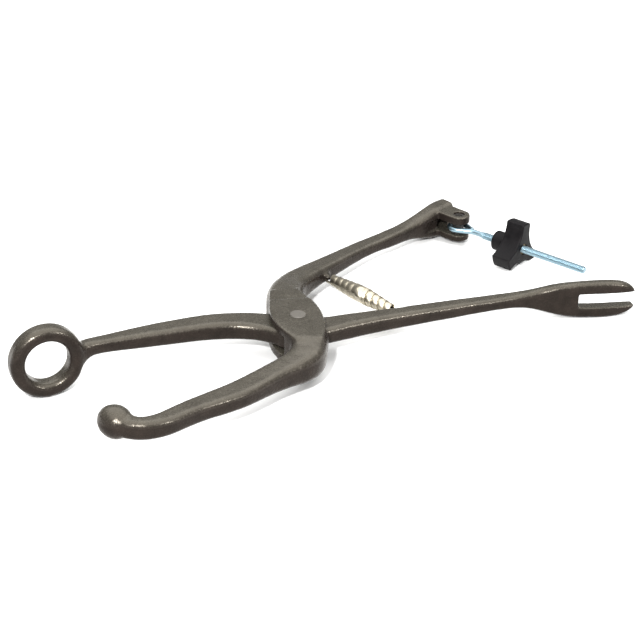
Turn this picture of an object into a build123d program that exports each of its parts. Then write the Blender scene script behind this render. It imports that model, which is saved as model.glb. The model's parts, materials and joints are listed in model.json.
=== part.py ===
"""Ball-and-ring shoe stretcher: two cast arms crossing at a box joint.

The pivot axis is +Z.  The flat underside of the box joint is at z = 0.
+X runs from the jaws to the handles along the centre line of the open tool.
The tool is drawn fully open.
"""
import os
from math import atan2, cos, degrees, radians, sin
from build123d import *

# ---- reach of each limb from the pivot, and its direction in plan (mm, degrees)
RING_REACH = 150.3
BALL_REACH = 149.3
RING_ANGLE = 162.5
BALL_ANGLE = 194.2
PIN_REACH = 181.8
PIN_ANGLE = 21.6
FORK_REACH = 213.0
FORK_ANGLE = -18.3

# ---- box joint
BOX_THICKNESS = 23.0
BOX_ANGLE = 67.0
BOX_FACE_EDGE = 0.9
TONGUE_THICKNESS = 11.4
TONGUE_RADIUS = 15.0
TONGUE_GAP = 0.3
TONGUE_EDGE = 1.6
JAW_TRAVEL = 31.0
WINDOW_JAW_ANGLE = 134.0
WINDOW_JAW_WIDTH = 24.0
WINDOW_HANDLE_ANGLE = -25.0
WINDOW_HANDLE_WIDTH = 23.2
WINDOW_SPARE = 15.0

# ---- rivet
RIVET_RADIUS = 4.4
RIVET_HEAD_FLARE = 0.4
RIVET_HEAD_DEPTH = 1.2
RIVET_PROUD = 0.5
PIVOT_CLEARANCE = 0.06
RIVET_HEAD_RADIUS = RIVET_RADIUS + RIVET_HEAD_FLARE

# ---- ring and ball
RING_INNER_RADIUS = 13.4
RING_WALL = 8.8
RING_DEPTH = 12.6
RING_EDGE_RADIUS = 3.9
RING_TURN = 6.0
BALL_RADIUS = 9.7
BALL_NOSE = 11.0

# ---- clevis and its pin
CLEVIS_HEIGHT = 18.4
CLEVIS_SLOT = 7.4
CLEVIS_SLOT_DEPTH = 13.0
SLOT_POCKET_DEPTH = 5.0
SLOT_POCKET_WIDTH = 9.0
LOWER_EAR_TRIM = 1.5
EAR_ANGLE = -75.0
EAR_WALL = 3.5
EAR_LENGTH = 18.0
PIN_RADIUS = 3.5
PIN_RECESS = 1.4
PIN_WALL = 1.1
PIN_SLIT = 0.9
EAR_RADIUS = PIN_RADIUS + EAR_WALL
CLEVIS_LIP = 3.0

# ---- fork
FORK_LEAN = -28.5
FORK_SLOT_HEIGHT = 9.2
FORK_SLOT_LENGTH = 35.0

# ---- eye bolt and knob (distances along the bolt from the clevis pin)
BOLT_ANGLE = -71.8
BOLT_LENGTH = 96.0
WIRE_RADIUS = 1.75
EYE_CLEARANCE = 0.08
THREAD_START = 18.0
THREAD_RADIUS = 2.4
TIP_CHAMFER = 0.6
NOTCH_WIDTH = 0.9
NOTCH_DEPTH = 1.6
KNOB_START = 29.3
HUB_RADIUS = 6.4
HUB_LENGTH = 8.2
PRONG_LENGTH = 13.0
PRONG_RADIUS = 17.0
PRONG_COUNT = 3
PRONG_TURN = -8.0
SCALLOP_RADIUS = 20.0
SCALLOP_FLOOR = 8.0
KNOB_EDGE_RADIUS = 0.9
INSERT_WALL = 1.2
INSERT_RECESS = 1.6
THREAD_CLEARANCE = 0.08
INSERT_CLEARANCE = 0.05
INSERT_RADIUS = THREAD_RADIUS + INSERT_WALL

# ---- volute spring between the handles; each end is (share of the handle's reach, bow)
SPRING_TOP = (0.3844, 25.5)
SPRING_FOOT = (0.3042, -11.1)
SPRING_WIDE_RADIUS = 5.4
SPRING_END_RADIUS = 3.1
SPRING_STRIP_WIDTH = 9.0
SPRING_STRIP_THICKNESS = 0.55
SPRING_TURNS = 4
SPRING_END_GAP = 0.1
SEAT_RADIUS = 3.3
SEAT_DEPTH = 5.0
NUB_RADIUS = 2.1
NUB_LENGTH = 3.0

MID = BOX_THICKNESS / 2
LIMB_ROOT = BOX_THICKNESS - 2.0
PIVOT = Vector(0, 0, MID)
UP = Vector(0, 0, 1)


def heading(angle):
    """Unit vector in plan at an angle from +X."""
    return Vector(cos(radians(angle)), sin(radians(angle)), 0)


def swing_plane(origin, angle):
    """Level plane at origin whose X axis points along the angle."""
    return Plane(origin=origin, x_dir=heading(angle), z_dir=UP)


RING_CENTRE = PIVOT + heading(RING_ANGLE) * RING_REACH
BALL_CENTRE = PIVOT + heading(BALL_ANGLE) * BALL_REACH
PIN_CENTRE = PIVOT + heading(PIN_ANGLE) * PIN_REACH
FORK_TIP = PIVOT + heading(FORK_ANGLE) * FORK_REACH
BOLT_WAY = heading(BOLT_ANGLE)

# Each limb is a row of sections from the pivot outwards:
# (share of the reach, bow away from the other limb, width in plan, thickness, lift)
BALL_JAW = [
    (0.03, 14.0, 25.0, LIMB_ROOT, 0.0),
    (0.12, 25.0, 21.5, LIMB_ROOT, 0.0),
    (0.26, 29.2, 18.2, 15.5, 0.0),
    (0.45, 27.8, 17.0, 11.6, 0.0),
    (0.66, 24.4, 15.6, 10.8, 0.0),
    (0.84, 21.4, 13.6, 11.2, 0.0),
    (0.93, 18.8, 12.2, 11.6, 0.0),
    (0.98, 12.5, 11.8, 12.0, 0.0),
    (0.995, 4.5, 12.5, 12.5, 0.0),
]
RING_JAW = [
    (0.0, 0.0, 22.0, TONGUE_THICKNESS - 1.0, 0.0),
    (0.1, 8.0, 21.3, TONGUE_THICKNESS - 0.8, 0.0),
    (0.2, 14.6, 18.6, TONGUE_THICKNESS - 0.2, 0.0),
    (0.33, 17.2, 17.2, 11.2, 0.1),
    (0.5, 15.2, 15.4, 10.4, 0.5),
    (0.66, 11.4, 12.6, 9.4, 1.2),
    (0.78, 7.6, 10.2, 8.6, 2.0),
    (0.83, 5.6, 10.2, 10.0, 1.8),
    (0.87, 3.6, 10.6, 14.5, 0.0),
    (0.9, 2.6, 10.6, 19.0, -1.2),
]
PIN_HANDLE = [
    (0.09, 17.0, 22.5, LIMB_ROOT - 0.5, 0.0),
    (0.165, 29.6, 22.0, LIMB_ROOT - 1.4, 0.0),
    (0.26, 35.2, 18.4, 15.5, 0.0),
    (0.4, 35.0, 15.0, 11.4, 0.0),
    (0.56, 32.6, 12.2, 9.0, 0.0),
    (0.72, 28.0, 11.2, 8.0, 0.0),
    (0.83, 24.1, 11.0, 9.6, 0.0),
    (0.9, 21.2, 11.6, 14.0, 0.0),
    (0.96, 18.6, 12.4, CLEVIS_HEIGHT + 1.0, 0.0),
    (1.0, 17.8, 12.8, CLEVIS_HEIGHT + CLEVIS_LIP - 0.4, 0.0),
    (1.06, 15.6, 12.8, CLEVIS_HEIGHT + CLEVIS_LIP, 0.0),
]
FORK_HANDLE = [
    (0.0, 0.0, 20.0, TONGUE_THICKNESS - 0.8, 0.0),
    (0.1, 1.4, 18.0, TONGUE_THICKNESS - 0.6, 0.0),
    (0.2, -1.6, 14.6, TONGUE_THICKNESS - 0.6, 0.0),
    (0.34, -5.0, 12.4, 9.7, 0.0),
    (0.5, -8.6, 11.0, 8.4, 0.0),
    (0.62, -10.6, 10.0, 7.8, 0.0),
    (0.7, -10.2, 9.0, 11.0, 0.0),
    (0.78, -6.4, 8.2, 19.6, 0.0),
    (0.86, -2.8, 8.0, 23.2, 0.0),
    (0.93, -0.8, 8.0, 23.2, 0.0),
    (0.975, 0.0, 7.6, 19.4, 0.0),
    (1.0, 0.2, 6.0, 11.4, 0.0),
]
EDGE_SHARE = 0.34

# Plan outline of the box joint, as (distance along BOX_ANGLE, distance to its left).
BOX_LEFT = [(-30.0, 7.0), (-14.0, 13.2), (0.0, 15.8), (18.0, 14.2), (36.0, 10.4)]
BOX_RIGHT = [(36.0, -7.0), (21.5, -11.2), (8.0, -14.3), (-10.0, -14.2), (-30.0, -9.6)]
# the raised faces of the box stop here, with a low step down to the handle
BOX_STEP_AT = 21.5
BOX_STEP = 1.1


def beside(reach, angle, side, share, bow):
    """Point of a limb; side is +1 or -1 for the way it bows."""
    return PIVOT + heading(angle) * (share * reach) + heading(angle + 90 * side) * bow


def limb(rows, reach, angle, side):
    """Loft a limb through its rows."""
    points = [beside(reach, angle, side, share, bow) + UP * lift for share, bow, width, thick, lift in rows]
    sections = []
    for index, (share, bow, width, thick, lift) in enumerate(rows):
        before = points[max(index - 1, 0)]
        after = points[min(index + 1, len(points) - 1)]
        tangent = (after - before).normalized()
        across = UP.cross(tangent)
        edge = EDGE_SHARE * min(width, thick)
        with BuildSketch(Plane(origin=points[index], x_dir=across, z_dir=tangent)) as section:
            RectangleRounded(width, thick, edge)
        sections.append(section.sketch.face())
    loft(sections)


def spring_line():
    """Start, direction and length of the spring's axis."""
    top = beside(PIN_REACH, PIN_ANGLE, 1, *SPRING_TOP)
    foot = beside(FORK_REACH, FORK_ANGLE, -1, *SPRING_FOOT)
    return top, (foot - top).normalized(), (foot - top).length


def spring_seat(point, way):
    """Round pad sunk into a handle, with a nub that locates the spring's end."""
    with BuildSketch(Plane(origin=point, z_dir=way)) as pad:
        Circle(SEAT_RADIUS)
    extrude(pad.sketch.face(), amount=-SEAT_DEPTH)
    with BuildSketch(Plane(origin=point, z_dir=way)) as nub:
        Circle(NUB_RADIUS)
    extrude(nub.sketch.face(), amount=NUB_LENGTH)


os.makedirs("parts", exist_ok=True)

SPRING_START, SPRING_WAY, SPRING_LENGTH = spring_line()

# ---- ball arm: ball jaw, box joint, handle with clevis
box_plane = swing_plane(PIVOT, BOX_ANGLE)
ear_plane = swing_plane(PIN_CENTRE, EAR_ANGLE)

with BuildPart() as ball_arm:
    with BuildSketch(box_plane.offset(-MID)):
        with BuildLine():
            Spline(*BOX_LEFT)
            Line(BOX_LEFT[-1], BOX_RIGHT[0])
            Spline(*BOX_RIGHT)
            Line(BOX_RIGHT[-1], BOX_LEFT[0])
        make_face()
    extrude(amount=BOX_THICKNESS)
    # low step where the box meets the handle, on both faces
    for face in (-MID, MID - BOX_STEP):
        with BuildSketch(box_plane.offset(face)):
            with Locations((BOX_STEP_AT, 0)):
                Rectangle(BOX_THICKNESS, 3 * BOX_THICKNESS, align=(Align.MIN, Align.CENTER))
        extrude(amount=BOX_STEP, mode=Mode.SUBTRACT)
    level_edges = ball_arm.edges().filter_by(Axis.Z, reverse=True)
    lower_edges = level_edges.filter_by_position(Axis.Z, 0, 0.01)
    upper_edges = level_edges.filter_by_position(Axis.Z, BOX_THICKNESS - 0.01, BOX_THICKNESS)
    fillet(lower_edges + upper_edges, BOX_FACE_EDGE)
    limb(BALL_JAW, BALL_REACH, BALL_ANGLE, 1)
    limb(PIN_HANDLE, PIN_REACH, PIN_ANGLE, 1)
    # ball, slightly longer towards the ring
    with BuildSketch(Plane(origin=BALL_CENTRE, x_dir=heading(BALL_ANGLE - 90), z_dir=UP)):
        Ellipse(BALL_NOSE, BALL_RADIUS)
        with Locations((0, -BALL_RADIUS)):
            Rectangle(3 * BALL_NOSE, 2 * BALL_RADIUS, mode=Mode.SUBTRACT)
    revolve(axis=Axis(BALL_CENTRE, heading(BALL_ANGLE - 90)))
    # clevis ears
    with BuildSketch(ear_plane.offset(LOWER_EAR_TRIM - CLEVIS_HEIGHT / 2)):
        Circle(EAR_RADIUS)
        with Locations((-EAR_LENGTH / 2, 0)):
            Rectangle(EAR_LENGTH, 2 * EAR_RADIUS)
    extrude(amount=CLEVIS_HEIGHT - LOWER_EAR_TRIM)
    spring_seat(SPRING_START, SPRING_WAY)
    # slot between the ears
    with BuildSketch(ear_plane.offset(-CLEVIS_SLOT / 2)):
        with Locations((-CLEVIS_SLOT_DEPTH, 0)):
            Rectangle(2 * CLEVIS_SLOT_DEPTH + EAR_RADIUS, 8 * EAR_RADIUS, align=(Align.MIN, Align.CENTER))
            Rectangle(2 * SLOT_POCKET_DEPTH, SLOT_POCKET_WIDTH)
    extrude(amount=CLEVIS_SLOT, mode=Mode.SUBTRACT)
    with BuildSketch(swing_plane(PIN_CENTRE, 0).offset(-BOX_THICKNESS)):
        Circle(PIN_RADIUS)
    extrude(amount=2 * BOX_THICKNESS, mode=Mode.SUBTRACT)
    # window for the other arm, as wide as its swing
    window_floor = -(TONGUE_THICKNESS / 2 + TONGUE_GAP)
    for angle, width in (
        (WINDOW_JAW_ANGLE, WINDOW_JAW_WIDTH),
        (WINDOW_JAW_ANGLE + JAW_TRAVEL, WINDOW_JAW_WIDTH),
        (WINDOW_JAW_ANGLE + JAW_TRAVEL + WINDOW_SPARE, WINDOW_JAW_WIDTH),
        (WINDOW_HANDLE_ANGLE, WINDOW_HANDLE_WIDTH),
        (WINDOW_HANDLE_ANGLE + JAW_TRAVEL, WINDOW_HANDLE_WIDTH),
    ):
        with BuildSketch(swing_plane(PIVOT, angle).offset(window_floor)):
            Rectangle(3 * TONGUE_RADIUS, width, align=(Align.MIN, Align.CENTER))
        extrude(amount=-2 * window_floor, mode=Mode.SUBTRACT)
    with BuildSketch(swing_plane(PIVOT, 0).offset(window_floor)):
        Circle(TONGUE_RADIUS + 4 * TONGUE_GAP)
    extrude(amount=-2 * window_floor, mode=Mode.SUBTRACT)
    # rivet hole, opened at both faces for the peened heads
    with BuildSketch(Plane.XZ):
        with BuildLine():
            Polyline(
                (0, 0), (RIVET_HEAD_RADIUS, 0), (RIVET_RADIUS, RIVET_HEAD_DEPTH),
                (RIVET_RADIUS, BOX_THICKNESS - RIVET_HEAD_DEPTH), (RIVET_HEAD_RADIUS, BOX_THICKNESS),
                (0, BOX_THICKNESS), close=True,
            )
        make_face()
    revolve(axis=Axis.Z, mode=Mode.SUBTRACT)

# ---- ring arm: ring jaw, tongue, handle with fork
ring_way = heading(RING_ANGLE + RING_TURN - 90)
fork_root = FORK_TIP - heading(FORK_LEAN) * FORK_SLOT_LENGTH

with BuildPart() as ring_arm:
    with BuildSketch(swing_plane(PIVOT, 0).offset(-TONGUE_THICKNESS / 2)):
        Circle(TONGUE_RADIUS)
    extrude(amount=TONGUE_THICKNESS)
    fillet(ring_arm.edges(), TONGUE_EDGE)
    limb(RING_JAW, RING_REACH, RING_ANGLE, -1)
    limb(FORK_HANDLE, FORK_REACH, FORK_ANGLE, -1)
    with BuildSketch(Plane(origin=RING_CENTRE, x_dir=UP, z_dir=heading(RING_ANGLE + RING_TURN))):
        with Locations((RING_INNER_RADIUS + RING_WALL / 2, 0)):
            RectangleRounded(RING_WALL, RING_DEPTH, RING_EDGE_RADIUS)
    revolve(axis=Axis(RING_CENTRE, ring_way))
    # keep the limb's end out of the ring's bore
    with BuildSketch(Plane(origin=RING_CENTRE, x_dir=UP, z_dir=ring_way).offset(-RING_DEPTH)):
        Circle(RING_INNER_RADIUS)
    extrude(amount=2 * RING_DEPTH, mode=Mode.SUBTRACT)
    spring_seat(SPRING_START + SPRING_WAY * SPRING_LENGTH, -SPRING_WAY)
    with BuildSketch(swing_plane(fork_root, FORK_LEAN).offset(-FORK_SLOT_HEIGHT / 2)):
        Rectangle(2 * FORK_SLOT_LENGTH, 4 * FORK_SLOT_HEIGHT, align=(Align.MIN, Align.CENTER))
    extrude(amount=FORK_SLOT_HEIGHT, mode=Mode.SUBTRACT)
    with BuildSketch(Plane.XY):
        Circle(RIVET_RADIUS + PIVOT_CLEARANCE)
    extrude(amount=BOX_THICKNESS, mode=Mode.SUBTRACT)

# ---- rivet, peened into both faces of the box
with BuildPart() as pivot_rivet:
    with BuildSketch(Plane.XZ):
        with BuildLine():
            Polyline(
                (0, 0), (RIVET_HEAD_RADIUS, 0), (RIVET_RADIUS, RIVET_HEAD_DEPTH),
                (RIVET_RADIUS, BOX_THICKNESS - RIVET_HEAD_DEPTH), (RIVET_HEAD_RADIUS, BOX_THICKNESS),
                (RIVET_HEAD_RADIUS - RIVET_PROUD, BOX_THICKNESS + RIVET_PROUD),
                (0, BOX_THICKNESS + RIVET_PROUD), close=True,
            )
        make_face()
    revolve(axis=Axis.Z)

# ---- slotted spring pin through the clevis
PIN_LENGTH = CLEVIS_HEIGHT - LOWER_EAR_TRIM - 2 * PIN_RECESS
with BuildPart() as clevis_pin:
    with BuildSketch(ear_plane.offset(LOWER_EAR_TRIM + PIN_RECESS - CLEVIS_HEIGHT / 2)):
        Circle(PIN_RADIUS)
        Circle(PIN_RADIUS - PIN_WALL, mode=Mode.SUBTRACT)
        Rectangle(2 * PIN_RADIUS, PIN_SLIT, align=(Align.MAX, Align.CENTER), mode=Mode.SUBTRACT)
    extrude(amount=PIN_LENGTH)

# ---- double volute spring: a strip wound on two cones, widest in the middle
SPRING_HALF = SPRING_LENGTH / 2 - SPRING_END_GAP
SPRING_RISE = SPRING_HALF - SPRING_STRIP_WIDTH / 2 - 5 * SPRING_END_GAP
SPRING_CONE = degrees(atan2(SPRING_WIDE_RADIUS - SPRING_END_RADIUS, SPRING_RISE))
spring_middle = SPRING_START + SPRING_WAY * (SPRING_LENGTH / 2)

with BuildPart() as volute_spring:
    for way in (SPRING_WAY, -SPRING_WAY):
        with BuildLine() as coil:
            Helix(pitch=SPRING_RISE / SPRING_TURNS, height=SPRING_RISE, radius=SPRING_WIDE_RADIUS,
                  center=spring_middle, direction=way, cone_angle=-SPRING_CONE)
        outwards = (coil.line @ 0 - spring_middle).normalized()
        with BuildSketch(Plane(origin=coil.line @ 0, x_dir=outwards, z_dir=coil.line % 0)):
            Rectangle(SPRING_STRIP_THICKNESS, SPRING_STRIP_WIDTH)
        sweep(is_frenet=True)

# ---- eye bolt
bolt_plane = swing_plane(PIN_CENTRE, BOLT_ANGLE)
EYE_BORE = PIN_RADIUS + EYE_CLEARANCE
EYE_RADIUS = EYE_BORE + 0.9 * WIRE_RADIUS

with BuildPart() as eye_bolt:
    with BuildSketch(Plane(origin=PIN_CENTRE, x_dir=BOLT_WAY, z_dir=BOLT_WAY.cross(UP))):
        with Locations((EYE_RADIUS, 0)):
            Circle(WIRE_RADIUS)
    revolve(axis=Axis(PIN_CENTRE, UP))
    with BuildSketch(bolt_plane):
        with BuildLine():
            Polyline(
                (EYE_RADIUS, 0), (EYE_RADIUS, WIRE_RADIUS), (THREAD_START - TIP_CHAMFER, WIRE_RADIUS),
                (THREAD_START, THREAD_RADIUS), (BOLT_LENGTH - TIP_CHAMFER, THREAD_RADIUS),
                (BOLT_LENGTH, THREAD_RADIUS - TIP_CHAMFER), (BOLT_LENGTH, 0), close=True,
            )
        make_face()
    revolve(axis=Axis(PIN_CENTRE, BOLT_WAY))
    with BuildSketch(bolt_plane.offset(-BOX_THICKNESS / 2)):
        Circle(EYE_BORE)
    extrude(amount=BOX_THICKNESS, mode=Mode.SUBTRACT)
    with BuildSketch(bolt_plane.offset(-THREAD_RADIUS)):
        with Locations((BOLT_LENGTH, 0)):
            Rectangle(2 * NOTCH_DEPTH, NOTCH_WIDTH)
    extrude(amount=2 * THREAD_RADIUS, mode=Mode.SUBTRACT)

# ---- star knob: round hub towards the clevis, three prongs
hub_plane = Plane(origin=PIN_CENTRE + BOLT_WAY * KNOB_START, x_dir=UP, z_dir=BOLT_WAY)
KNOB_LENGTH = HUB_LENGTH + PRONG_LENGTH

with BuildPart() as star_knob:
    with BuildSketch(hub_plane.offset(HUB_LENGTH)):
        Circle(PRONG_RADIUS)
        with PolarLocations(SCALLOP_FLOOR + SCALLOP_RADIUS, PRONG_COUNT, PRONG_TURN + 180 / PRONG_COUNT):
            Circle(SCALLOP_RADIUS, mode=Mode.SUBTRACT)
    extrude(amount=PRONG_LENGTH)
    fillet(star_knob.edges(), KNOB_EDGE_RADIUS)
    with BuildSketch(hub_plane):
        Circle(HUB_RADIUS)
    extrude(amount=HUB_LENGTH + KNOB_EDGE_RADIUS)
    fillet(star_knob.edges().filter_by(GeomType.CIRCLE).sort_by(Axis(PIN_CENTRE, BOLT_WAY))[0], KNOB_EDGE_RADIUS)
    with BuildSketch(hub_plane):
        Circle(INSERT_RADIUS + INSERT_CLEARANCE)
    extrude(amount=KNOB_LENGTH, mode=Mode.SUBTRACT)

# ---- threaded bush moulded into the knob
with BuildPart() as knob_insert:
    with BuildSketch(hub_plane.offset(INSERT_RECESS / 2)):
        Circle(INSERT_RADIUS)
        Circle(THREAD_RADIUS + THREAD_CLEARANCE, mode=Mode.SUBTRACT)
    extrude(amount=KNOB_LENGTH - INSERT_RECESS)

ball_arm.part.label = "ball_arm"
ring_arm.part.label = "ring_arm"
pivot_rivet.part.label = "pivot_rivet"
clevis_pin.part.label = "clevis_pin"
volute_spring.part.label = "volute_spring"
eye_bolt.part.label = "eye_bolt"
star_knob.part.label = "star_knob"
knob_insert.part.label = "knob_insert"

export_step(ball_arm.part, "parts/ball_arm.step")
export_step(ring_arm.part, "parts/ring_arm.step")
export_step(pivot_rivet.part, "parts/pivot_rivet.step")
export_step(clevis_pin.part, "parts/clevis_pin.step")
export_step(volute_spring.part, "parts/volute_spring.step")
export_step(eye_bolt.part, "parts/eye_bolt.step")
export_step(star_knob.part, "parts/star_knob.step")
export_step(knob_insert.part, "parts/knob_insert.step")
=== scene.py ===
"""Looks of a ball-and-ring shoe stretcher: cast arms, volute spring, threaded eye bolt and star knob.

Everything is in metres, in the frame of the CAD model: +Z is the pivot axis,
and +X runs from the jaws to the handles.
"""
import json
from math import cos, pi, radians, sin
import bmesh
import bpy
import numpy as np
from mathutils import Matrix, Vector, noise


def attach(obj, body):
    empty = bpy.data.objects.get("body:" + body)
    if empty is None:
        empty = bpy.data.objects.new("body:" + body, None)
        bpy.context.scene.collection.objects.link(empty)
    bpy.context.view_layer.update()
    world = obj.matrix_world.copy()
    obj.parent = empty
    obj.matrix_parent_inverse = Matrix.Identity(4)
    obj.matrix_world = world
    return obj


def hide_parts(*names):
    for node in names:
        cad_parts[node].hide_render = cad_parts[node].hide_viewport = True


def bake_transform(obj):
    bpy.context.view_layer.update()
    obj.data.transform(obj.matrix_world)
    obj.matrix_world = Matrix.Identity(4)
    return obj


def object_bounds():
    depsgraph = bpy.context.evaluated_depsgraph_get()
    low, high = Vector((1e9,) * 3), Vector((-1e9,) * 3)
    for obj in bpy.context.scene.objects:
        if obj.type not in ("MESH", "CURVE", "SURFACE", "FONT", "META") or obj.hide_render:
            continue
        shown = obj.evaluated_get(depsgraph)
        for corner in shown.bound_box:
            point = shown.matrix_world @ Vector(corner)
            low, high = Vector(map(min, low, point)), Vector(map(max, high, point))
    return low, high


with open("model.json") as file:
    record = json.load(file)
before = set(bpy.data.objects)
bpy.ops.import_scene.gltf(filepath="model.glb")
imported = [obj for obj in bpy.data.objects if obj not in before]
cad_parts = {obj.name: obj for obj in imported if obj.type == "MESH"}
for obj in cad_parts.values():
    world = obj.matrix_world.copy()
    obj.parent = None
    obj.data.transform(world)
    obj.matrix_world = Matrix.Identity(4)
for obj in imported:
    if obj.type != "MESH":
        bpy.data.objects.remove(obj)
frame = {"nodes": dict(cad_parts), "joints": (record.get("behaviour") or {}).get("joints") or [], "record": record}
cad_low, cad_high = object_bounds()

MM = 0.001
UP = Vector((0, 0, 1))
joints = {joint["name"]: joint for joint in frame["joints"]}
mounts = {mount["name"]: mount for mount in frame["record"]["mounts"]}
PIVOT = Vector(joints["jaw_pivot"]["pos_m"])
PIN = Vector(joints["bolt_swing"]["pos_m"])
BOLT_WAY = Vector(joints["knob_travel"]["axis"]).normalized()
RING = Vector(mounts["ring_bore"]["pos_m"])
RING_WAY = Vector(mounts["ring_bore"]["axis"]).normalized()
RING_INNER = mounts["ring_bore"]["dims"]["r_mm"] * MM

# ---- castings
VOXEL = 0.6 * MM
SOFTEN_STEPS = 5
JOIN_STEPS = 90
SWELL = 0.10 * MM
SWELL_SCALE = 11 * MM
RIPPLE_SCALE = 0.3 * SWELL_SCALE
# holes that keep their shape: where the smoothing starts, and how fast it comes in
RIVET_EDGE = 5 * MM
RIVET_FADE = 2 * MM
PIN_EDGE = 3.6 * MM
PIN_FADE = 1.5 * MM
RING_FADE = 3 * MM
# places where two cast shapes run together: body, point in plan and radius (mm)
JOINS = {
    "ring_arm": [((-125, 42), 13), ((65.0, -9.8), 8)],
    "ball_arm": [((-137, -45), 9), ((-14, -28), 22), ((5, -22), 12), ((55.6, 49.4), 8)],
}

# ---- eye bolt (distances along the bolt from the clevis pin)
WIRE = 1.75 * MM
EYE = 5.35 * MM
THREAD_START = 18 * MM
BOLT_END = 96 * MM
THREAD_RADIUS = 2.4 * MM
THREAD_DEPTH = 0.55 * MM
THREAD_PITCH = 25.4 / 24 * MM

# ---- colours of the castings: TOP on faces that look up, SIDE on faces that look sideways or down; the paler tops and darker sides are painted light and shade
TOP_PALE = (0.068, 0.062, 0.049)
TOP_DARK = (0.042, 0.038, 0.029)
SIDE_PALE = (0.025, 0.019, 0.016)
SIDE_DARK = (0.012, 0.0095, 0.0082)

# ---- volute spring
SPRING_TOP = Vector((55.6, 49.4, PIVOT.z / MM)) * MM
SPRING_FOOT = Vector((65.0, -9.8, PIVOT.z / MM)) * MM
SPRING_WIDE = 5.4 * MM
SPRING_END = 3.1 * MM
SPRING_STRIP = 9 * MM
SPRING_SHEET = 0.4 * MM
SPRING_TURNS = 5


def new_object(name, mesh):
    """Mesh object in the scene."""
    made = bpy.data.objects.new(name, mesh)
    bpy.context.scene.collection.objects.link(made)
    return made


def mesh_from(name, points, faces, smooth=True):
    """Mesh from points and faces."""
    mesh = bpy.data.meshes.new(name)
    mesh.from_pydata([tuple(point) for point in points], [], faces)
    mesh.polygons.foreach_set("use_smooth", [smooth] * len(mesh.polygons))
    mesh.update()
    return mesh


def apply_modifiers(piece):
    """Replace a piece's mesh by what its modifiers make of it."""
    scene_state = bpy.context.evaluated_depsgraph_get()
    final = bpy.data.meshes.new_from_object(piece.evaluated_get(scene_state))
    piece.modifiers.clear()
    piece.data = final


def points_of(mesh):
    """Vertex positions as an array."""
    flat = np.zeros(len(mesh.vertices) * 3)
    mesh.vertices.foreach_get("co", flat)
    return flat.reshape(-1, 3)


def edges_of(mesh):
    """Edge ends as an array."""
    flat = np.zeros(len(mesh.edges) * 2, np.int64)
    mesh.edges.foreach_get("vertices", flat)
    return flat.reshape(-1, 2)


def relax(points, edges, weight, steps):
    """Draw each point towards the mean of its neighbours, by its own weight."""
    count = len(points)
    degree = np.bincount(edges.ravel(), minlength=count)[:, None]
    for _ in range(steps):
        total = np.stack([
            np.bincount(edges[:, 0], points[edges[:, 1], axis], count)
            + np.bincount(edges[:, 1], points[edges[:, 0], axis], count)
            for axis in range(3)
        ], axis=1)
        points = points + 0.5 * weight[:, None] * (total / degree - points)
    return points


def from_axis(points, origin, way):
    """Distance of each point from an axis."""
    offset = points - np.array(origin)
    along = offset @ np.array(way)
    return np.linalg.norm(offset - along[:, None] * np.array(way), axis=1)


def ease(value):
    """Smooth step from 0 to 1."""
    value = np.clip(value, 0, 1)
    return value * value * (3 - 2 * value)


def recast(node, joins):
    """Even skin over a casting, with blended joins and a slightly wavy cast surface."""
    mesh = frame["nodes"][node].data.copy()
    cleaned = bmesh.new()
    cleaned.from_mesh(mesh)
    bmesh.ops.remove_doubles(cleaned, verts=cleaned.verts, dist=0.002 * MM)
    cleaned.to_mesh(mesh)
    cleaned.free()
    piece = new_object(node + "_skin", mesh)
    remesh = piece.modifiers.new("even", "REMESH")
    remesh.mode = "VOXEL"
    remesh.voxel_size = VOXEL
    apply_modifiers(piece)
    mesh = piece.data
    points, edges = points_of(mesh), edges_of(mesh)
    ring_bore = 1.0
    if node == "ring_arm":
        ring_bore = ease((from_axis(points, RING, RING_WAY) - RING_INNER) / RING_FADE)
    rivet_hole = ease((from_axis(points, PIVOT, UP) - RIVET_EDGE) / RIVET_FADE)
    pin_hole = ease((from_axis(points, PIN, UP) - PIN_EDGE) / PIN_FADE)
    keep = rivet_hole * pin_hole * ring_bore
    blend = np.zeros(len(points))
    for (x, y), radius in joins:
        reach = np.linalg.norm(points - np.array([x * MM, y * MM, PIVOT.z]), axis=1)
        blend = np.maximum(blend, ease(1.6 * (1 - reach / (radius * MM))))
    points = relax(points, edges, blend * keep, JOIN_STEPS)
    points = relax(points, edges, np.maximum(keep, 0.15), SOFTEN_STEPS)
    mesh.vertices.foreach_set("co", points.ravel())
    mesh.update()
    normals = np.zeros(len(points) * 3)
    mesh.vertex_normals.foreach_get("vector", normals)
    wave = np.array([
        noise.noise(Vector(point) / SWELL_SCALE) + 0.5 * noise.noise(Vector(point) / RIPPLE_SCALE)
        for point in points
    ])
    points = points + normals.reshape(-1, 3) * (wave * keep * SWELL)[:, None]
    mesh.vertices.foreach_set("co", points.ravel())
    mesh.polygons.foreach_set("use_smooth", [True] * len(mesh.polygons))
    mesh.update()
    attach(piece, node)
    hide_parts(node)
    return piece


def tube(centres, acrosses, ups, radii, sides):
    """Closed tube round a line, with the radius given for each row, or for each row and side."""
    points, faces = [], []
    for centre, across, up, radius in zip(centres, acrosses, ups, radii):
        for side in range(sides):
            turn = 2 * pi * side / sides
            reach = radius[side] if isinstance(radius, (list, np.ndarray)) else radius
            points.append(centre + (across * cos(turn) + up * sin(turn)) * reach)
    for row in range(len(centres) - 1):
        for side in range(sides):
            after = (side + 1) % sides
            low, high = row * sides, (row + 1) * sides
            faces.append((low + side, low + after, high + after, high + side))
    faces.append(tuple(range(sides - 1, -1, -1)))
    faces.append(tuple((len(centres) - 1) * sides + side for side in range(sides)))
    return points, faces


def bolt_point(along, aside=0.0, height=0.0):
    """Point given along the bolt, to its left and above its line."""
    return PIN + BOLT_WAY * along + UP.cross(BOLT_WAY) * aside + UP * height


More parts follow.
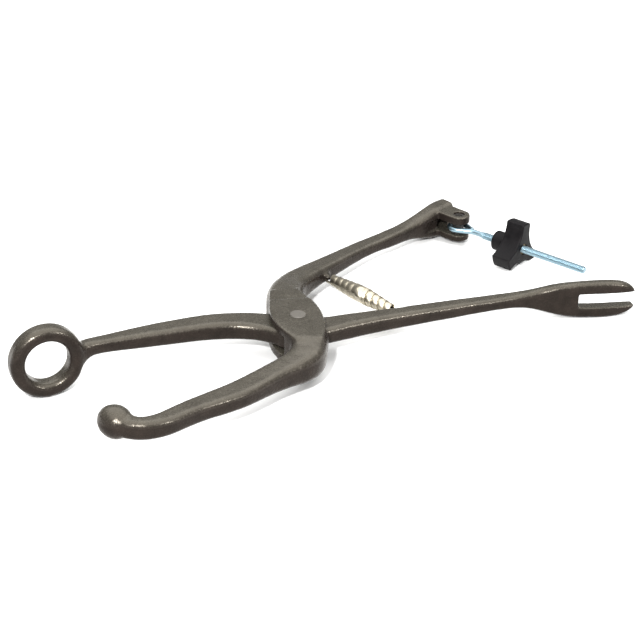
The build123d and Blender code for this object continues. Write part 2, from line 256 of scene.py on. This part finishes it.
def bent_eye():
    """Wire bent off the shank, round the pin and back against the shank, then the plain neck."""
    start, finish = radians(-62), radians(-298)
    line = [(THREAD_START + 0.2 * MM, 0.0), (15.5 * MM, 0.0), (13.0 * MM, 0.0), (11.0 * MM, -0.4 * MM)]
    line += [(8.6 * MM, -1.5 * MM), (5.6 * MM, -3.2 * MM)]
    steps = 36
    for step in range(steps + 1):
        angle = start + (finish - start) * step / steps
        line.append((EYE * cos(angle), EYE * sin(angle)))
    line += [(5.6 * MM, 3.2 * MM), (8.6 * MM, 1.8 * MM), (10.6 * MM, 1.0 * MM)]
    control = [Vector((x, y, 0)) for x, y in line]
    rows = []
    for index in range(len(control) - 1):
        before = control[max(index - 1, 0)]
        this, after = control[index], control[index + 1]
        beyond = control[min(index + 2, len(control) - 1)]
        for part in range(3):
            t = part / 3
            straight = (after - before) * t
            bend = (2 * before - 5 * this + 4 * after - beyond) * t * t
            twist = (3 * this - before - 3 * after + beyond) * t ** 3
            rows.append(0.5 * ((2 * this) + straight + bend + twist))
    rows.append(control[-1])
    centres, acrosses, radii = [], [], []
    for index, row in enumerate(rows):
        tangent = (rows[min(index + 1, len(rows) - 1)] - rows[max(index - 1, 0)]).normalized()
        side = Vector((-tangent.y, tangent.x, 0))
        centres.append(bolt_point(row.x, row.y))
        acrosses.append((BOLT_WAY * side.x + UP.cross(BOLT_WAY) * side.y).normalized())
        radii.append(WIRE)
    radii[0] = THREAD_RADIUS - THREAD_DEPTH
    for index in (-1, -2, -3):
        radii[index] = WIRE * (0.78, 0.93, 0.99)[-1 - index]
    return tube(centres, acrosses, [UP] * len(centres), radii, 20)


def threaded_rod():
    """Rod with a right-hand thread, run out at the neck and chamfered at the tip."""
    sides, per_pitch = 26, 9
    length = BOLT_END - THREAD_START
    count = int(length / THREAD_PITCH * per_pitch)
    centres, radii = [], []
    for row in range(count + 1):
        along = length * row / count
        fade_in = min(1.0, along / (2.5 * THREAD_PITCH))
        chamfer = max(0.0, 0.7 * MM - (length - along))
        ring = []
        for side in range(sides):
            phase = (along / THREAD_PITCH - side / sides) % 1.0
            tooth = 0.5 + 0.5 * cos(2 * pi * phase)
            depth = THREAD_DEPTH * (1 - tooth ** 0.8)
            rolled = THREAD_RADIUS - depth
            plain = THREAD_RADIUS - THREAD_DEPTH
            reach = plain + (rolled - plain) * fade_in
            ring.append(min(reach, THREAD_RADIUS - chamfer))
        centres.append(bolt_point(THREAD_START + along))
        radii.append(ring)
    left = UP.cross(BOLT_WAY)
    return tube(centres, [left] * len(centres), [UP] * len(centres), radii, sides)


def add_parts(name, parts, body, replaced, material):
    """One piece from several closed shapes that ride on one body."""
    points, faces = [], []
    for part_points, part_faces in parts:
        first = len(points)
        points.extend(part_points)
        faces.extend(tuple(first + corner for corner in face) for face in part_faces)
    piece = new_object(name, mesh_from(name, points, faces))
    recalculated = bmesh.new()
    recalculated.from_mesh(piece.data)
    bmesh.ops.recalc_face_normals(recalculated, faces=recalculated.faces)
    recalculated.to_mesh(piece.data)
    recalculated.free()
    piece.data.materials.append(material)
    if body:
        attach(piece, body)
    if replaced:
        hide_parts(*replaced)
    return piece


def volute_half(sign):
    """Strip wound on a cone, widest at the middle of the spring."""
    way = (SPRING_FOOT - SPRING_TOP).normalized() * sign
    middle = (SPRING_TOP + SPRING_FOOT) / 2
    left = UP.cross(way).normalized()
    half = (SPRING_FOOT - SPRING_TOP).length / 2 - 0.1 * MM
    rise = half - SPRING_STRIP / 2 - 0.3 * MM
    steps_per_turn = 40
    count = SPRING_TURNS * steps_per_turn
    points, faces = [], []
    for step in range(count + 1):
        share = step / count
        turn = 2 * pi * SPRING_TURNS * share
        outwards = left * cos(turn) + UP * sin(turn)
        radius = SPRING_WIDE + (SPRING_END - SPRING_WIDE) * share
        along = rise * share
        for reach, width in ((0, -0.5), (0, 0.5), (-SPRING_SHEET, 0.5), (-SPRING_SHEET, -0.5)):
            points.append(middle + way * (along + width * SPRING_STRIP) + outwards * (radius + reach))
    for step in range(count):
        low, high = 4 * step, 4 * step + 4
        for corner in range(4):
            after = (corner + 1) % 4
            faces.append((low + corner, low + after, high + after, high + corner))
    faces.append((3, 2, 1, 0))
    faces.append(tuple(4 * count + corner for corner in range(4)))
    return points, faces


# ---------------------------------------------------------------- materials
def start_material(name):
    """Empty node material with its shader."""
    material = bpy.data.materials.new(name)
    material.use_nodes = True
    nodes = material.node_tree.nodes
    return material, nodes, material.node_tree.links, nodes["Principled BSDF"]


def place(nodes):
    """Object coordinates, as a socket."""
    return nodes.new("ShaderNodeTexCoord").outputs["Object"]


def noise_of(nodes, links, where, size, detail=3.0, roughness=0.55):
    """Noise whose features are about this size in metres."""
    made = nodes.new("ShaderNodeTexNoise")
    made.inputs["Scale"].default_value = 1 / size
    made.inputs["Detail"].default_value = detail
    made.inputs["Roughness"].default_value = roughness
    links.new(where, made.inputs["Vector"])
    return made.outputs["Fac"]


def ramp(nodes, links, value, stops):
    """Colour ramp over a value."""
    made = nodes.new("ShaderNodeValToRGB")
    band = made.color_ramp
    while len(band.elements) < len(stops):
        band.elements.new(0.5)
    for element, (spot, colour) in zip(band.elements, stops):
        element.position = spot
        element.color = (*colour, 1)
    links.new(value, made.inputs["Fac"])
    return made.outputs["Color"]


def spread(nodes, links, value, low, high, new_low, new_high):
    """Map a value from one range to another."""
    made = nodes.new("ShaderNodeMapRange")
    made.inputs["From Min"].default_value = low
    made.inputs["From Max"].default_value = high
    made.inputs["To Min"].default_value = new_low
    made.inputs["To Max"].default_value = new_high
    links.new(value, made.inputs["Value"])
    return made.outputs["Result"]


def mixed(nodes, links, share, first, second):
    """Mix of two colours; a plain colour or a socket may be given for each."""
    made = nodes.new("ShaderNodeMix")
    made.data_type = "RGBA"
    for socket, given in ((made.inputs[0], share), (made.inputs[6], first), (made.inputs[7], second)):
        if isinstance(given, (int, float)):
            socket.default_value = given
        elif isinstance(given, tuple):
            socket.default_value = (*given, 1)
        else:
            links.new(given, socket)
    return made.outputs[2]


def bumped(nodes, links, height, distance, strength, below=None):
    """Bump over an optional earlier bump."""
    made = nodes.new("ShaderNodeBump")
    made.inputs["Distance"].default_value = distance
    made.inputs["Strength"].default_value = strength
    links.new(height, made.inputs["Height"])
    if below is not None:
        links.new(below, made.inputs["Normal"])
    return made.outputs["Normal"]


def upward(nodes, links, low, high):
    """0 on faces that look sideways or down, 1 on faces that look up."""
    split = nodes.new("ShaderNodeSeparateXYZ")
    links.new(nodes.new("ShaderNodeTexCoord").outputs["Normal"], split.inputs[0])
    return spread(nodes, links, split.outputs["Z"], low, high, 0.0, 1.0)


def cast_iron():
    """Dark iron casting, mottled and grainy, with painted light: faces that look up get a paler colour and a
    stronger reflection, and faces that look sideways or down get a darker colour as painted shade.
    """
    material, nodes, links, shader = start_material("cast_iron_skin")
    where = place(nodes)
    mottle = noise_of(nodes, links, where, 9 * MM, 5, 0.6)
    grain = noise_of(nodes, links, where, 0.6 * MM, 3, 0.6)
    pits = noise_of(nodes, links, where, 1.5 * MM, 3, 0.6)
    # painted light and shade: faces that look up take the paler TOP colours, faces that look sideways or down the
    # darker SIDE colours; the mottle over each is the iron's own uneven tone
    patchy = ramp(nodes, links, mottle, [(0.3, TOP_DARK), (0.7, TOP_PALE)])
    painted_shade_tone = ramp(nodes, links, mottle, [(0.3, SIDE_DARK), (0.7, SIDE_PALE)])
    painted_light_share = upward(nodes, links, 0.25, 0.95)
    colour = mixed(nodes, links, painted_light_share, painted_shade_tone, patchy)
    colour = mixed(nodes, links, spread(nodes, links, grain, 0.4, 0.65, 0.0, 0.6), colour, SIDE_DARK)
    edge = nodes.new("ShaderNodeNewGeometry").outputs["Pointiness"]
    colour = mixed(nodes, links, spread(nodes, links, edge, 0.53, 0.6, 0.0, 0.35), colour, (0.13, 0.12, 0.10))
    links.new(colour, shader.inputs["Base Color"])
    links.new(spread(nodes, links, pits, 0.35, 0.65, 0.16, 0.34), shader.inputs["Roughness"])
    shader.inputs["Metallic"].default_value = 0.1
    # painted shade: reflection is strong on faces that look up and weak on faces that look sideways or down, to
    # darken the sides
    painted_reflection_level = spread(nodes, links, upward(nodes, links, 0.1, 0.45), 0, 1, 0.08, 0.5)
    links.new(painted_reflection_level, shader.inputs["Specular IOR Level"])
    shader.inputs["Specular Tint"].default_value = (1.0, 0.9, 0.76, 1)
    coarse = bumped(nodes, links, pits, 0.15 * MM, 1.0)
    links.new(bumped(nodes, links, grain, 0.05 * MM, 0.8, coarse), shader.inputs["Normal"])
    return material


def plated(name, colour, dark, roughness, speck, metallic=1.0):
    """Plated or bare steel with a faint speckle."""
    material, nodes, links, shader = start_material(name)
    where = place(nodes)
    specks = noise_of(nodes, links, where, speck, 4, 0.65)
    patches = noise_of(nodes, links, where, 6 * speck, 2)
    shade = ramp(nodes, links, specks, [(0.32, dark), (0.6, colour)])
    links.new(shade, shader.inputs["Base Color"])
    patchy = spread(nodes, links, patches, 0.3, 0.7, roughness * 0.75, roughness * 1.3)
    links.new(patchy, shader.inputs["Roughness"])
    shader.inputs["Metallic"].default_value = metallic
    links.new(bumped(nodes, links, specks, 0.02 * MM, 0.4), shader.inputs["Normal"])
    return material


def moulded_black():
    """Black moulded plastic with a fine texture and faint dust."""
    material, nodes, links, shader = start_material("moulded_black")
    where = place(nodes)
    texture = noise_of(nodes, links, where, 0.35 * MM, 3)
    dust = noise_of(nodes, links, where, 5 * MM, 4)
    colour = ramp(nodes, links, dust, [(0.35, (0.003, 0.0025, 0.003)), (0.75, (0.007, 0.006, 0.0065))])
    links.new(colour, shader.inputs["Base Color"])
    links.new(spread(nodes, links, dust, 0.3, 0.7, 0.42, 0.58), shader.inputs["Roughness"])
    shader.inputs["Specular IOR Level"].default_value = 0.12
    links.new(bumped(nodes, links, texture, 0.03 * MM, 0.5), shader.inputs["Normal"])
    return material


def plain_floor():
    """Pale matt board."""
    material, nodes, links, shader = start_material("pale_board")
    shader.inputs["Base Color"].default_value = (0.88, 0.88, 0.87, 1)
    shader.inputs["Roughness"].default_value = 0.9
    shader.inputs["Specular IOR Level"].default_value = 0.1
    return material


iron = cast_iron()
nickel = plated("nickel_plate", (0.54, 0.49, 0.385), (0.43, 0.39, 0.305), 0.38, 1.2 * MM)
zinc = plated("zinc_plate", (0.30, 0.42, 0.48), (0.19, 0.28, 0.33), 0.34, 0.5 * MM)
rivet_steel = plated("rivet_steel", (0.105, 0.096, 0.082), (0.075, 0.068, 0.058), 0.45, 0.8 * MM, 0.1)
pin_steel = plated("pin_steel", (0.08, 0.075, 0.07), (0.04, 0.037, 0.034), 0.42, 0.5 * MM, 0.4)
brass = plated("aged_brass", (0.15, 0.12, 0.07), (0.08, 0.065, 0.04), 0.45, 0.5 * MM, 0.8)
black = moulded_black()

# ---------------------------------------------------------------- pieces
for arm in ("ball_arm", "ring_arm"):
    skin = recast(arm, JOINS[arm])
    skin.data.materials.clear()
    skin.data.materials.append(iron)

for node, material in (
    ("pivot_rivet", rivet_steel),
    ("clevis_pin", pin_steel),
    ("knob_insert", brass),
    ("star_knob", black),
):
    carried = frame["nodes"][node]
    carried.data.materials.clear()
    carried.data.materials.append(material)

add_parts("threaded_eye_bolt", [bent_eye(), threaded_rod()], "eye_bolt", ["eye_bolt"], zinc)

volutes = [volute_half(1), volute_half(-1)]
spring = add_parts("double_volute", volutes, None, ["volute_spring"], nickel)
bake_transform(spring)

# ---------------------------------------------------------------- camera
ELEVATION = radians(27.6)
TURN = radians(-35)
ROLL = radians(1.9)
FOCAL = 3.906
DISTANCE = 1.475
PIVOT_SEEN = (-0.0352, -0.0181)

forward = Vector((-sin(TURN) * cos(ELEVATION), cos(TURN) * cos(ELEVATION), -sin(ELEVATION)))
level = Vector((cos(TURN), sin(TURN), 0))
upright = level.cross(forward)
right = level * cos(ROLL) + upright * sin(ROLL)
above = upright * cos(ROLL) - level * sin(ROLL)
camera_data = bpy.data.cameras.new("camera")
camera_data.sensor_width = 36
camera_data.lens = 36 * FOCAL
camera_data.clip_start = 0.05
camera_data.clip_end = 20
camera = bpy.data.objects.new("camera", camera_data)
bpy.context.scene.collection.objects.link(camera)
seat = PIVOT - (forward + right * (PIVOT_SEEN[0] / FOCAL) + above * (PIVOT_SEEN[1] / FOCAL)) * DISTANCE
axes = Matrix((right, above, -forward)).transposed()
camera.matrix_world = Matrix.Translation(seat) @ axes.to_4x4()
bpy.context.scene.camera = camera


# ---------------------------------------------------------------- floor
def lowest(points):
    """The point with the least height."""
    return points[np.argmin(points[:, 2])]


ring_points = points_of(frame["nodes"]["ring_arm"].data)
ball_points = points_of(frame["nodes"]["ball_arm"].data)
handle_zone = 0.8 * cad_high.x
feet = [
    Vector(lowest(ring_points[ring_points[:, 0] < RING.x + RING_INNER])),
    Vector(lowest(ring_points[ring_points[:, 0] > handle_zone])),
    Vector(lowest(ball_points[ball_points[:, 0] > handle_zone])),
]
floor_up = (feet[1] - feet[0]).cross(feet[2] - feet[0]).normalized()
drop = min(((points - np.array(feet[0])) @ np.array(floor_up)).min() for points in (ring_points, ball_points))
floor_origin = feet[0] + floor_up * (drop - 0.1 * MM)
floor_across = floor_up.cross(Vector((0, 1, 0))).normalized()
floor_back = floor_up.cross(floor_across)
corners = [floor_origin + floor_across * x + floor_back * y for x, y in ((-4, -4), (4, -4), (4, 4), (-4, 4))]
floor = new_object("floor", mesh_from("floor", corners, [(0, 1, 2, 3)], False))
floor.data.materials.append(plain_floor())

# ---------------------------------------------------------------- light
world = bpy.data.worlds.new("studio")
world.use_nodes = True
world.node_tree.nodes["Background"].inputs["Color"].default_value = (1, 1, 1, 1)
world.node_tree.nodes["Background"].inputs["Strength"].default_value = 0.4
bpy.context.scene.world = world
bpy.context.scene.view_settings.view_transform = "Standard"

toward = Vector((-forward.x, -forward.y, 0)).normalized()


def softbox(name, side, front, height, size, power, colour=(1, 1, 1)):
    """Square area light placed from the pivot: to the right, towards the camera and up."""
    data = bpy.data.lights.new(name, "AREA")
    data.shape = "SQUARE"
    data.size = size
    data.energy = power
    data.color = colour
    made = bpy.data.objects.new(name, data)
    bpy.context.scene.collection.objects.link(made)
    spot = PIVOT + level * side + toward * front + UP * height
    made.location = spot
    made.rotation_mode = "QUATERNION"
    made.rotation_quaternion = (PIVOT - spot).to_track_quat("-Z", "Y")


softbox("overhead", 0.0, -0.1, 1.2, 2.4, 42)
softbox("ridge_light", -0.2, 1.1, 0.8, 0.08, 24)
softbox("side_light", 1.0, 0.6, 0.7, 0.1, 7)
